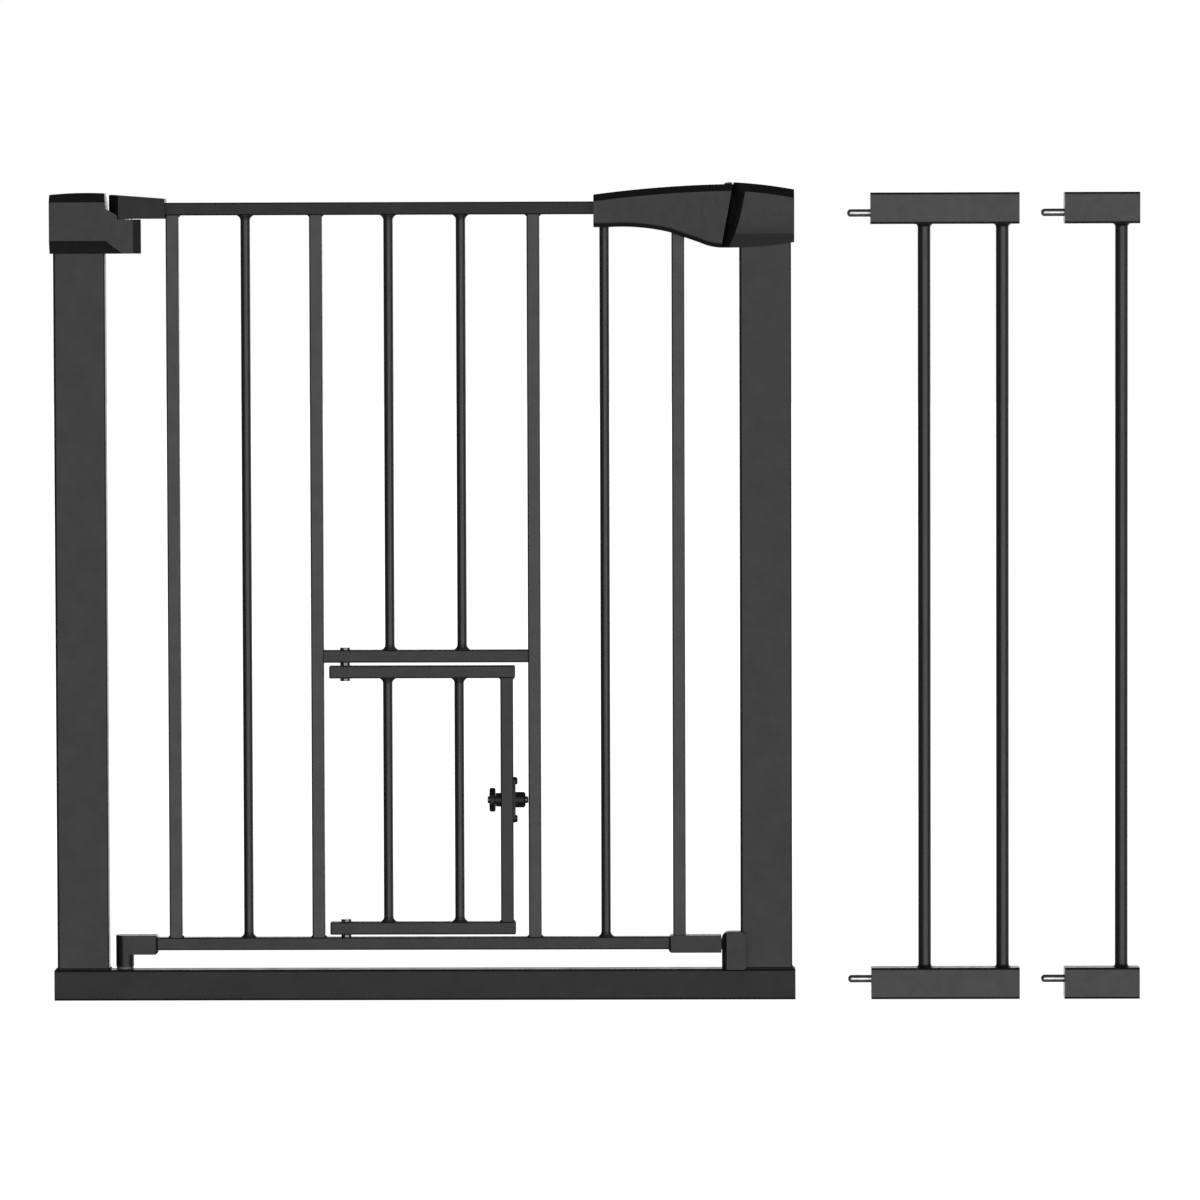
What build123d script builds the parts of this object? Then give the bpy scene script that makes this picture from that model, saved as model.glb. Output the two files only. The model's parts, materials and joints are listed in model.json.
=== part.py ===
from build123d import *
import os

# A walk-through pet gate with a small pet door in its door, and two clip-on width extensions.
# Sizes are in millimetres. X runs along the gate, Y from its front to its back, and Z is up.
# The origin is on the floor, under the middle of the gate's bottom rail.

# Frame
gate_length = 698.0  # bottom rail, end to end
gate_height = 758.0  # floor to the top of the hinge housing
rail_height = 29.0
rail_depth = 24.0
rail_wall = 1.5
rail_corner = 2.5
post_width = 48.6
post_depth = 20.0
post_wall = 1.2
post_corner = 2.5
post_inset = 2.9  # post's outer face back from the rail's end
post_top_drop = 33.0  # post's top below the top of the hinge housing

# Moulded housings on the posts
housing_depth = 34.0
housing_drop = 55.0  # top of the hinge housing down to its lower edge
housing_wall = 3.5
top_bevel_height = 9.0
top_bevel_depth = 7.5
lower_bevel_height = 12.0
lower_bevel_depth = 5.5
hinge_crown = 2.0  # middle of the hinge housing's curved top above gate_height
catch_rise = 10.0  # catch housing's highest point above the hinge housing
catch_right_drop = 6.8  # fall of its top towards the outer side
catch_bottom_drop = 51.1  # its lower edge below the hinge housing's top
catch_top_bevel = 8.0
catch_bevel_height = 13.0  # its lower bevels
catch_foot_rise = 5.0  # rise of its lower edge towards the outer side

# Spindle bushes, rail end plugs and their bores
bore_radius = 3.9
bore_height_low = 18.5
bore_drop_top = 19.0  # upper bores below the top of the hinge housing
bush_radius = 7.0
bush_length = 22.0
plug_length = 12.0

# Door tubes
tube = 12.0  # square tube, across flats
tube_wall = 1.2
tube_corner = 1.5
bar_radius = 4.5
door_rail_drop = 13.4  # centre of the door's top rail below gate_height
door_rail_low = 53.0  # centre height of the door's bottom rail
hinge_gap = 14.5  # hinge axis from the left post's inner face
hinge_to_stile = 48.5
latch_to_stile = 57.5  # right stile's centre from the right post's inner face
pet_opening = 192.0  # clear width between the inner stiles
bay_shift = -0.6  # middle of the pet opening from the middle of the door
long_bar_shift = 1.2  # long bars from the middle of their bays, towards the pet opening
crossbar_height = 324.0

# Door hinges
pin_radius = 4.0
bush_outer = 5.95
door_bore = 6.0
running = 0.05
gap = 0.3  # between bodies that move past each other
flange_radius = 8.0
flange_height = 2.4
housing_overhang = 1.6  # hinge housing's body past the post's inner face
housing_lean = 1.4  # its side leans this far outwards over its height
arm_reach = 32.0  # hinge arm beyond the housing's body
arm_tip = 6.9  # length of the arm's blunt tip
arm_tip_half = 8.0  # half depth of the arm where its tip starts
arm_slope_drop = 13.0  # top of the arm's slope below gate_height
arm_top_drop = 23.0  # hinge arm's flat top below gate_height
cap_depth = 25.0
cap_end = 10.6  # hinge axis to the cap's blunt end
cap_front = 1.2  # hinge axis to where the cap's front face starts
cap_end_half = 3.8
cap_turn = 12.8  # largest reach of the turning cap's round end from the axis
elbow_radius = 8.5
elbow_bottom = 32.0
elbow_top = 61.3
lift = 10.0  # how far the door lifts off its stops

# Handle and lock
handle_depth = 30.0
nose_clear = 0.4  # between the handle's nose and the catch housing
nose_step = 1.0  # back half of the nose past its front half, so that the door opens one way only
nose_from_post = 16.9  # foot of the nose from the right post's inner face
nose_lean = 11.3  # the nose leans this far to the right over its height
facet_start = 5.0  # half width of the flat end between the catch housing's facets
facet_width = 12.5  # length of a facet along the gate
lip_thickness = 1.7
recess_depth = 3.5
lip_rise = 4.5  # middle of the lip round the recess above the bolt
handle_past_bar = 9.9  # handle's left end past the bar that it hides
grip_drop = 12.2  # underside of the grip below the top rail
grip_round = 5.0  # rounding of its lower edges
handle_bevel = 6.5
groove_width = 2.0
groove_depth = 0.8
bolt_size = 8.0
bolt_drop = 19.0
bolt_reach = 5.0
bolt_length = 31.0
slider_width = 12.0
slider_travel = 8.0

# Bottom stop and the sleeve that meets it
sleeve_height = 16.4
sleeve_drop = 0.8  # middle of the sleeve below the rail's middle
sleeve_length = 49.6
stop_top = 65.0
stop_front = 19.0
tongue_reach = 11.5
tongue_half = 6.5
stop_corner = 4.3  # width of the bevel at the stop's front left edge

# Pet door
leaf_axis_offset = 76.2  # pet door's hinge axis left of the pet opening's middle
leaf_top_gap = 2.8
leaf_bottom_gap = 2.4
leaf_right_reach = 158.0  # hinge axis to the outer face of the leaf's stile
leaf_left_reach = 13.0
leaf_pin_radius = 3.0
leaf_head_radius = 4.8
leaf_head_height = 2.2
leaf_plug_head = 2.0
leaf_plug_tail = 5.0
leaf_bar_offset = 33.6
leaf_bar_shift = -2.6  # middle of the leaf's bars from the pet opening's middle

# Pet door latch
latch_height = 188.3
latch_bolt_radius = 3.3
latch_throw = 4.0
latch_housing_radius = 7.4
latch_collar_radius = 4.9
latch_plate_thickness = 2.0
latch_plate_width = 11.0
latch_plate_height = 43.0
latch_screw_spacing = 35.6
knob_radius = 11.3
knob_thickness = 5.6
neck_radius = 6.5
neck_length = 4.9

# Extensions
block_height = 29.5
block_depth = 24.0
block_wall = 1.8
end_cap_length = 7.0
end_cap_tail = 2.4
extension_pin_radius = 3.6
extension_pin_length = 21.8
extension_pin_seat = 10.0
extension_bar_radius = 6.0
extension_bar_seat = 5.0
wide_start = 420.5
wide_length = 139.4
wide_bars = (50.4, 123.7)
narrow_start = 602.2
narrow_length = 70.5
narrow_bars = (53.7,)

# Worked-out places
half_length = gate_length / 2
post_outer = half_length - post_inset
post_inner = post_outer - post_width
post_middle = (post_outer + post_inner) / 2
post_top = gate_height - post_top_drop
housing_bottom = gate_height - housing_drop
hinge_x = hinge_gap - post_inner
stile_left_x = hinge_x + hinge_to_stile
stile_right_x = post_inner - latch_to_stile
bay_middle = (stile_left_x + stile_right_x) / 2 + bay_shift
inner_left_x = bay_middle - (pet_opening + tube) / 2
inner_right_x = bay_middle + (pet_opening + tube) / 2
top_rail_z = gate_height - door_rail_drop
top_rail_under = top_rail_z - tube / 2
low_rail_top = door_rail_low + tube / 2
bore_height_top = gate_height - bore_drop_top
nose_x = post_inner - nose_from_post
nose_bottom = gate_height - catch_bottom_drop
nose_top = gate_height + catch_rise
nose_slope = nose_lean / (nose_top - nose_bottom)
bolt_z = gate_height - bolt_drop
arm_top = gate_height - arm_top_drop
long_bar_left_x = (stile_left_x + inner_left_x) / 2 + long_bar_shift
long_bar_right_x = (stile_right_x + inner_right_x) / 2 - long_bar_shift
handle_left = long_bar_right_x - handle_past_bar
leaf_axis_x = bay_middle - leaf_axis_offset
leaf_right = leaf_axis_x + leaf_right_reach
leaf_left = leaf_axis_x - leaf_left_reach
leaf_top = crossbar_height - tube / 2 - leaf_top_gap
leaf_bottom = low_rail_top + leaf_bottom_gap
leaf_stile_x = leaf_right - tube / 2
pocket_low = bolt_z - bolt_size / 2 - 6.0
pocket_high = bolt_z + bolt_size / 2 + lift + 4.0
pocket_half = bolt_size / 2 + gap
keeper_end = post_inner + 3.0
keeper_back = bolt_size / 2
sleeve_end = nose_x - 1.2
stop_left = sleeve_end + 0.5


def nose_at(z):
    """X of the handle's leaning nose at a height."""
    return nose_x + (z - nose_bottom) * nose_slope


def block(x0, x1, y0, y1, z0, z1):
    """A plain box between two corners."""
    return Pos((x0 + x1) / 2, (y0 + y1) / 2, (z0 + z1) / 2) * Box(x1 - x0, y1 - y0, z1 - z0)


def front_prism(outline, y0, y1):
    """A face drawn in X and Z, carried from y0 to y1."""
    return Pos(0, y1, 0) * extrude(Plane.XZ * outline, amount=y1 - y0)


def side_prism(outline, x0, x1):
    """A face drawn in Y and Z, carried from x0 to x1."""
    return Pos(x0, 0, 0) * extrude(Plane.YZ * outline, amount=x1 - x0)


def plan_prism(outline, z0, z1):
    """A face drawn in X and Y, carried from z0 to z1."""
    return Pos(0, 0, z0) * extrude(outline, amount=z1 - z0)


def polygon(*points):
    """A closed outline of straight sides."""
    return make_face(Polyline(*points, close=True))


def hollow_section(width, height, wall, corner):
    """A rounded rectangular tube's section."""
    inner_corner = max(corner - wall, 0.3)
    inside = RectangleRounded(width - 2 * wall, height - 2 * wall, inner_corner)
    return RectangleRounded(width, height, corner) - inside


def tube_along_x(x0, x1, z, depth, height, wall, corner):
    """A rectangular tube along X, centred on Y = 0."""
    section = Pos(0, z) * hollow_section(depth, height, wall, corner)
    return side_prism(section, x0, x1)


def tube_upright(x, z0, z1, width, depth, wall, corner):
    """A rectangular tube standing at x, centred on Y = 0."""
    return plan_prism(Pos(x, 0) * hollow_section(width, depth, wall, corner), z0, z1)


def rod_z(x, y, radius, z0, z1):
    return Pos(x, y, (z0 + z1) / 2) * Cylinder(radius, z1 - z0)


def rod_x(y, z, radius, x0, x1):
    return Pos((x0 + x1) / 2, y, z) * Rot(0, 90, 0) * Cylinder(radius, x1 - x0)


def rod_y(x, z, radius, y0, y1):
    return Pos(x, (y0 + y1) / 2, z) * Rot(90, 0, 0) * Cylinder(radius, y1 - y0)


def coil_x(z, radius, wire, x0, x1, turns):
    """A compression spring along X."""
    length = x1 - x0 - 2 * wire
    path = Helix(pitch=length / turns, height=length, radius=radius)
    section = Plane(origin=path @ 0, z_dir=path % 0) * Circle(wire)
    return Pos(x0 + wire, 0, z) * Rot(0, 90, 0) * sweep(section, path=path)


# ---------------------------------------------------------------- frame


def frame_bottom_rail():
    rail = tube_along_x(
        -half_length, half_length, rail_height / 2, rail_depth, rail_height, rail_wall, rail_corner
    )
    return rail - rod_z(hinge_x, 0, pin_radius, rail_height / 2, rail_height + 1)


def frame_post(side):
    x = side * post_middle
    post = tube_upright(x, rail_height, post_top, post_width, post_depth, post_wall, post_corner)
    return post - housing_screw_holes(side)


def housing_screw_places(side):
    """The two screws that hold a housing to its post, from behind."""
    z = (post_top + housing_bottom + lower_bevel_height) / 2
    return [(side * (post_middle - 12), z), (side * (post_middle + 12), z)]


def housing_screw_holes(side):
    holes = Part()
    for x, z in housing_screw_places(side):
        holes += rod_y(x, z, 2.0, 0, housing_depth)
    return holes


def housing_screws():
    screws = []
    for side in (-1, 1):
        for x, z in housing_screw_places(side):
            face = housing_depth / 2
            head = rod_y(x, z, 3.6, face, face + 2.2)
            shank = rod_y(x, z, 2.0, post_depth / 2 - 5, face)
            slot = block(x - 0.5, x + 0.5, face + 1.2, face + 3, z - 2.6, z + 2.6)
            cross = block(x - 2.6, x + 2.6, face + 1.2, face + 3, z - 0.5, z + 0.5)
            screws.append(head + shank - slot - cross)
    return Compound(children=screws)


def post_socket(side):
    """The post's own outline, cut up into a housing from below."""
    outline = Pos(side * post_middle, 0) * RectangleRounded(post_width, post_depth, post_corner)
    return plan_prism(outline, housing_bottom - 40, post_top)


def housing_section(bottom, top, depth, low_height):
    """Front-to-back section of a housing, with its four long bevels."""
    y = depth / 2
    return polygon(
        (-y, bottom + low_height),
        (-y, top - top_bevel_height),
        (-y + top_bevel_depth, top),
        (y - top_bevel_depth, top),
        (y, top - top_bevel_height),
        (y, bottom + low_height),
        (y - lower_bevel_depth, bottom),
        (-y + lower_bevel_depth, bottom),
    )


def hinge_housing():
    body_right = housing_overhang - post_inner
    top_right = body_right - housing_lean
    y = housing_depth / 2
    crown = gate_height + hinge_crown
    outline = make_face(
        Line((-half_length, housing_bottom), (body_right, housing_bottom))
        + Line((body_right, housing_bottom), (body_right, gate_height - arm_slope_drop))
        + Line((body_right, gate_height - arm_slope_drop), (top_right, crown - 0.4))
        + ThreePointArc(
            (top_right, crown - 0.4),
            ((top_right - half_length) / 2 + 4, crown),
            (-half_length, crown - 1.8),
        )
        + Line((-half_length, crown - 1.8), (-half_length, housing_bottom))
    )
    end = body_right + arm_reach
    shoulder = end - arm_tip
    arm_plan = polygon(
        (body_right - 6, -y),
        (body_right, -y),
        (shoulder, -arm_tip_half),
        (end, -arm_tip_half / 3),
        (end, arm_tip_half / 3),
        (shoulder, arm_tip_half),
        (body_right, y),
        (body_right - 6, y),
    )
    arm_side = polygon(
        (body_right - 6, housing_bottom - 1),
        (end, housing_bottom - 1),
        (end, arm_top),
        (shoulder, arm_top),
        (body_right + 11.0, arm_top + 3.6),
        (body_right, gate_height - arm_slope_drop),
        (body_right - 6, gate_height - arm_slope_drop),
    )
    # The arm's front recedes, so the housing's lower bevel runs out along it.
    arm = plan_prism(arm_plan, housing_bottom - 1, gate_height) & front_prism(arm_side, -y, y)
    section = housing_section(housing_bottom, crown, housing_depth, lower_bevel_height)
    body = (front_prism(outline, -y, y) + arm) & side_prism(section, -half_length - 1, end + 1)
    # The turning cap's way round the hinge, and the door's way out at the back.
    body -= rod_z(hinge_x, 0, cap_turn + 2 * gap, arm_top, crown + 1)
    body -= block(body_right, end + 1, -2, y + 1, arm_top, crown + 1)
    # Room inside for the post, the spindle bush and its spindle.
    body -= post_socket(-1)
    inside = housing_depth / 2 - housing_wall - 1.5
    body -= block(
        -half_length + housing_wall,
        -post_inner - housing_wall,
        -inside,
        inside,
        post_top,
        gate_height - top_bevel_height,
    )
    body -= rod_x(0, bore_height_top, bush_radius, -half_length - 1, -half_length + bush_length)
    body -= rod_z(hinge_x, 0, pin_radius, housing_bottom + 4, gate_height)
    return body - housing_screw_holes(-1)


def catch_facet_plane():
    """The plane of the catch housing's front-left facet, at the middle of its lip."""
    z = bolt_z + lip_rise
    lean = Vector(nose_slope, 0, 1)
    rise = housing_depth / 2 - facet_start
    along = Vector(facet_width, -rise, 0)
    return Plane(
        origin=(nose_at(z) + nose_clear + facet_width / 2, -facet_start - rise / 2, z),
        x_dir=along,
        z_dir=along.cross(lean),
    )


def lip_outline(inset):
    """The lip's tall six-sided outline on the facet, or the recess inside it."""
    return polygon(
        (-8.4 + inset, -17.2 + inset),
        (-5.6 + inset, 17.4 - inset),
        (-2.2 - inset * 0.2, 17.4 - inset),
        (7.2 - inset, 10.0 - inset * 0.6),
        (5.6 - inset, -4.0 - inset * 0.4),
        (1.9 - inset * 0.6, -17.2 + inset),
    )


def catch_section():
    """Front-to-back section of the catch housing. Its faces lean in below their middle."""
    y = housing_depth / 2
    top = nose_top + 0.6
    knee = top - top_bevel_height - 12.0
    low = nose_bottom + catch_bevel_height
    tuck = (knee - low) * 0.08
    front = [
        Line((y - lower_bevel_depth, nose_bottom), (-y + lower_bevel_depth, nose_bottom)),
        Line((-y + lower_bevel_depth, nose_bottom), (-y + tuck, low)),
        ThreePointArc((-y + tuck, low), (-y + tuck / 4, (knee + low) / 2), (-y, knee)),
        Line((-y, knee), (-y, top)),
        Line((-y, top), (y, top)),
        Line((y, top), (y, knee)),
        ThreePointArc((y, knee), (y - tuck / 4, (knee + low) / 2), (y - tuck, low)),
        Line((y - tuck, low), (y - lower_bevel_depth, nose_bottom)),
    ]
    return make_face(Curve() + front)


def catch_housing():
    y = housing_depth / 2
    left_low = nose_x + nose_clear
    left_high = nose_at(nose_top) + nose_clear
    outline = make_face(
        Line((left_low, nose_bottom), (left_high, nose_top))
        + ThreePointArc(
            (left_high, nose_top),
            ((left_high + half_length) / 2, nose_top - catch_right_drop * 0.36),
            (half_length, nose_top - catch_right_drop),
        )
        + Line(
            (half_length, nose_top - catch_right_drop), (half_length, nose_bottom + catch_foot_rise)
        )
        + ThreePointArc(
            (half_length, nose_bottom + catch_foot_rise),
            ((left_low + half_length) / 2 + 6, nose_bottom + catch_foot_rise * 0.3),
            (left_low, nose_bottom),
        )
    )
    body = front_prism(outline, -y, y)
    crown = [e for e in body.edges() if abs(abs(e.center().Y) - y) < 0.1]
    body = chamfer([e for e in crown if e.center().Z > gate_height], catch_top_bevel)
    body &= side_prism(catch_section(), left_low - 20, half_length + 1)
    # Facets at the front and back of the end that meets the handle.
    lean = Vector(nose_slope, 0, 1)
    height = nose_top - nose_bottom + 2
    for s in (-1, 1):
        facet = polygon(
            (left_low - 30, s * facet_start),
            (left_low, s * facet_start),
            (left_low + facet_width, s * y),
            (left_low + facet_width, s * 2 * y),
            (left_low - 30, s * 2 * y),
        )
        body -= extrude(Pos(0, 0, nose_bottom) * facet, amount=height * lean.length, dir=lean.normalized())
    # The back of the end stands off a little more, for the step in the handle's nose.
    step = polygon(
        (left_low - 30, -gap),
        (left_low + nose_step, -gap),
        (left_low + nose_step, 2 * y),
        (left_low - 30, 2 * y),
    )
    body -= extrude(Pos(0, 0, nose_bottom) * step, amount=height * lean.length, dir=lean.normalized())
    # Raised lip round the recess, then the recess and the channel that the bolt swings out of.
    facet_plane = catch_facet_plane()
    body += extrude(facet_plane.offset(-1) * lip_outline(0), amount=2.0)
    body -= extrude(facet_plane.offset(2) * lip_outline(lip_thickness), amount=-2 - recess_depth)
    body -= block(nose_x - 10, keeper_end, -pocket_half, pocket_half, pocket_low, pocket_high)
    body -= block(
        nose_x - 10,
        nose_at(bolt_z) + bolt_reach + gap,
        0,
        y + 5,
        bolt_z - bolt_size / 2 - gap,
        bolt_z + bolt_size / 2 + gap,
    )
    body -= post_socket(1)
    inside = housing_depth / 2 - housing_wall - 1.5
    body -= block(
        post_inner + 8,
        half_length - housing_wall,
        -inside,
        inside,
        post_top,
        nose_top - catch_right_drop - top_bevel_height,
    )
    body -= rod_x(0, bore_height_top, bush_radius, half_length - bush_length, half_length + 1)
    return body - housing_screw_holes(1)


def catch_keeper():
    """A steel keeper at the end of the catch's recess, with a jaw above and below the bolt."""
    front = -pocket_half
    keeper = block(keeper_end - 2.5, keeper_end, front, keeper_back, pocket_low, pocket_high)
    keeper += block(keeper_end - 7, keeper_end, front, keeper_back, pocket_low, pocket_low + 3)
    keeper += block(keeper_end - 5, keeper_end, front, keeper_back, pocket_high - 2, pocket_high)
    return keeper


def spindle_bushes():
    bushes = []
    for side in (-1, 1):
        x0 = min(side * half_length, side * (half_length - bush_length))
        x1 = x0 + bush_length
        bush = rod_x(0, bore_height_top, bush_radius, x0, x1)
        bushes.append(bush - rod_x(0, bore_height_top, bore_radius, x0 - 1, x1 + 1))
    return Compound(children=bushes)


def rail_plugs():
    plugs = []
    outline = Pos(0, rail_height / 2) * RectangleRounded(
        rail_depth - 2 * rail_wall, rail_height - 2 * rail_wall, rail_corner - rail_wall
    )
    for side in (-1, 1):
        x0 = min(side * half_length, side * (half_length - plug_length))
        x1 = x0 + plug_length
        plug = side_prism(outline, x0, x1)
        plugs.append(plug - rod_x(0, bore_height_low, bore_radius, x0 - 1, x1 + 1))
    return Compound(children=plugs)


def top_hinge_pin():
    pin = rod_z(hinge_x, 0, pin_radius, housing_bottom + 4, top_rail_z + 7.0)
    return chamfer(pin.edges().sort_by(Axis.Z)[-1:], 0.8)


def bottom_hinge_pin():
    pin = rod_z(hinge_x, 0, pin_radius, rail_wall, elbow_top - 4.5)
    return chamfer(pin.edges().sort_by(Axis.Z)[-1:], 0.8)


def bottom_stop():
    """The block that the sleeve's tongue rests in: a front leg, a floor and an end wall."""
    front = -stop_front
    right = post_inner + 5.2
    back = -tongue_half - 0.7
    leg = block(stop_left, right, front, back, rail_height, stop_top)
    upright = leg.edges().filter_by(Axis.Y).sort_by(Axis.Z)
    leg = fillet(upright[-2:], 7.0)
    low = leg.edges().filter_by(Axis.Y).sort_by(Axis.Z)[:2]
    leg = fillet(low, 2.5)
    plan = polygon(
        (stop_left, back),
        (stop_left, front + 1.4 * stop_corner),
        (stop_left + stop_corner, front),
        (right, front),
        (right, back),
    )
    leg &= plan_prism(plan, rail_height, stop_top)
    floor_top = door_rail_low - tube / 2 - 0.7
    wall_left = sleeve_end + tongue_reach + 0.7
    body = leg + block(stop_left, post_inner, -rail_depth / 2, post_depth / 2, rail_height, floor_top)
    body += block(wall_left, post_inner, -tongue_half - 1, post_depth / 2, rail_height, stop_top - 8)
    return body - block(post_inner, right + 1, -post_depth / 2, post_depth, rail_height, stop_top + 1)


# ---------------------------------------------------------------- hinge bushes


def top_hinge_bush():
    low = arm_top + gap
    high = top_rail_z + 8.0
    bush = rod_z(hinge_x, 0, flange_radius, low, low + flange_height)
    bush += rod_z(hinge_x, 0, bush_outer, low, high)
    return bush - rod_z(hinge_x, 0, pin_radius + running, low - 1, high + 1)


def bottom_hinge_bush():
    low = rail_height + gap
    high = elbow_top - 3.8
    bush = rod_z(hinge_x, 0, flange_radius, low, low + flange_height)
    bush += rod_z(hinge_x, 0, bush_outer, low, high)
    return bush - rod_z(hinge_x, 0, pin_radius + running, low - 1, high + 1)


# ---------------------------------------------------------------- door


def door_top_rail():
    return tube_along_x(
        stile_left_x - 28, stile_right_x + tube / 2, top_rail_z, tube, tube, tube_wall, tube_corner
    )


def door_bottom_rail():
    rail = tube_along_x(
        stile_left_x - 28, sleeve_end - 8, door_rail_low, tube, tube, tube_wall, tube_corner
    )
    return rail - rod_z(leaf_axis_x, 0, leaf_pin_radius, door_rail_low - tube, door_rail_low + tube)


def door_stile(x):
    return tube_upright(x, low_rail_top, top_rail_under, tube, tube, tube_wall, tube_corner)


def door_inner_stile_right():
    hole = rod_x(0, latch_height, latch_bolt_radius + gap, inner_right_x - tube, inner_right_x)
    return door_stile(inner_right_x) - hole


def door_crossbar():
    bar = tube_along_x(
        inner_left_x + tube / 2,
        inner_right_x - tube / 2,
        crossbar_height,
        tube,
        tube,
        tube_wall,
        tube_corner,
    )
    return bar - rod_z(leaf_axis_x, 0, leaf_pin_radius, crossbar_height - tube, crossbar_height + tube)


def door_long_bar(x):
    return rod_z(x, 0, bar_radius, low_rail_top, top_rail_under)


def door_upper_bar(x):
    return rod_z(x, 0, bar_radius, crossbar_height + tube / 2, top_rail_under)


def door_top_hinge_cap():
    """The turning cap on the top rail's end. Its blunt end stays within cap_turn of the axis."""
    y = cap_depth / 2
    left = hinge_x - cap_end
    front_left = hinge_x - cap_front
    right = stile_left_x - tube / 2 - 0.2
    bottom = arm_top + 2 * gap
    plan = polygon(
        (left, -cap_end_half),
        (front_left, -y),
        (right, -y),
        (right, y),
        (front_left, y),
        (left, cap_end_half),
    )
    side = polygon(
        (left, bottom),
        (right, bottom),
        (right, gate_height - 3.6),
        (left + 2.5, gate_height + 0.3),
        (left, gate_height - 0.3),
    )
    cap = plan_prism(plan, bottom, gate_height + 1) & front_prism(side, -y, y)
    cap -= rod_z(hinge_x, 0, door_bore, bottom - 1, top_rail_z + 8.4)
    cap -= rod_z(hinge_x, 0, flange_radius + gap, bottom - 1, arm_top + flange_height + 2 * gap)
    rail = Pos(0, top_rail_z) * RectangleRounded(tube, tube, tube_corner)
    return cap - side_prism(rail, stile_left_x - 28, right + 1)


def door_bottom_elbow():
    right = stile_left_x - 17.0
    body = rod_z(hinge_x, 0, elbow_radius, elbow_bottom, elbow_top)
    low = door_rail_low - tube / 2 - 3.8
    arm = block(hinge_x, right, -elbow_radius, elbow_radius, low, elbow_top)
    arm = chamfer(arm.faces().sort_by(Axis.X)[-1].edges(), 2.0)
    body += arm
    body -= rod_z(hinge_x, 0, door_bore, elbow_bottom - 1, elbow_top - 3.4)
    rail = Pos(0, door_rail_low) * RectangleRounded(tube, tube, tube_corner)
    return body - side_prism(rail, stile_left_x - 28, right + 1)


def door_end_sleeve():
    """Closes the bottom rail's free end and carries the tongue that rests in the stop."""
    left = sleeve_end - sleeve_length
    half = sleeve_height / 2
    middle = door_rail_low - sleeve_drop
    body = block(left, sleeve_end, -half, half, middle - half, middle + half)
    body = chamfer(body.faces().sort_by(Axis.X)[0].edges(), 2.0)
    body += block(
        sleeve_end - 2,
        sleeve_end + tongue_reach,
        -tongue_half,
        tongue_half,
        door_rail_low - tube / 2,
        door_rail_low + tube / 2 - 2,
    )
    rail = Pos(0, door_rail_low) * RectangleRounded(tube, tube, tube_corner)
    body -= side_prism(rail, left - 1, sleeve_end - 8)
    stile = Pos(stile_right_x, 0) * RectangleRounded(tube, tube, tube_corner)
    return body - plan_prism(stile, low_rail_top, low_rail_top + 10)


def handle_outline(reach):
    """The handle from the front. Its nose ends this far past nose_x."""
    top_left = (handle_left, gate_height - 1.0)
    nose_high = (nose_at(nose_top - 1.6) + reach, nose_top - 1.6)
    nose_low = (nose_x - 1, nose_bottom)
    belly = (nose_x - 20.5, nose_bottom + 5.0)
    grip_right = (stile_right_x - 8, top_rail_under - grip_drop - 4.8)
    grip_left = (handle_left + 14, top_rail_under - grip_drop)
    end_low = (handle_left, top_rail_under - grip_drop)
    return make_face(
        ThreePointArc(top_left, (handle_left + 64, gate_height + 5.6), nose_high)
        + Line(nose_high, (nose_x + reach, nose_bottom))
        + Line((nose_x + reach, nose_bottom), nose_low)
        + ThreePointArc(nose_low, (nose_x - 11, nose_bottom + 1.6), belly)
        + Line(belly, grip_right)
        + ThreePointArc(grip_right, (handle_left + 46, top_rail_under - grip_drop - 0.6), grip_left)
        + Line(grip_left, end_low)
        + Line(end_low, top_left)
    )


def crescent(top, middle, bottom, width):
    """A thin crescent that bows to the right, drawn in X and Z."""
    inner = (middle[0] - width, middle[1])
    return make_face(ThreePointArc(top, middle, bottom) + ThreePointArc(bottom, inner, top))


def grip_grooves():
    """Two curved grooves and an arrow-shaped one in the front of the grip."""
    x1 = nose_x - 31.2
    x2 = nose_x - 17.0
    x3 = nose_x - 0.6
    z = gate_height - 13.4
    first = crescent((x1 - 1.8, z + 7.6), (x1, z + 0.4), (x1 - 4.6, z - 11.0), groove_width)
    second = crescent((x2 - 2.6, z + 9.6), (x2, z - 0.4), (x2 - 5.6, z - 13.4), groove_width)
    arrow = polygon(
        (x3 - 6.4, z + 10.4),
        (x3, z + 0.8),
        (x3 - 5.4, z - 12.0),
        (x3 - 2.6, z + 0.8),
    )
    front = -handle_depth / 2
    grooves = front_prism(first, front - 1, front + groove_depth)
    grooves += front_prism(second, front - 1, front + groove_depth)
    return grooves + front_prism(arrow, front - 1, front + groove_depth)


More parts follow.
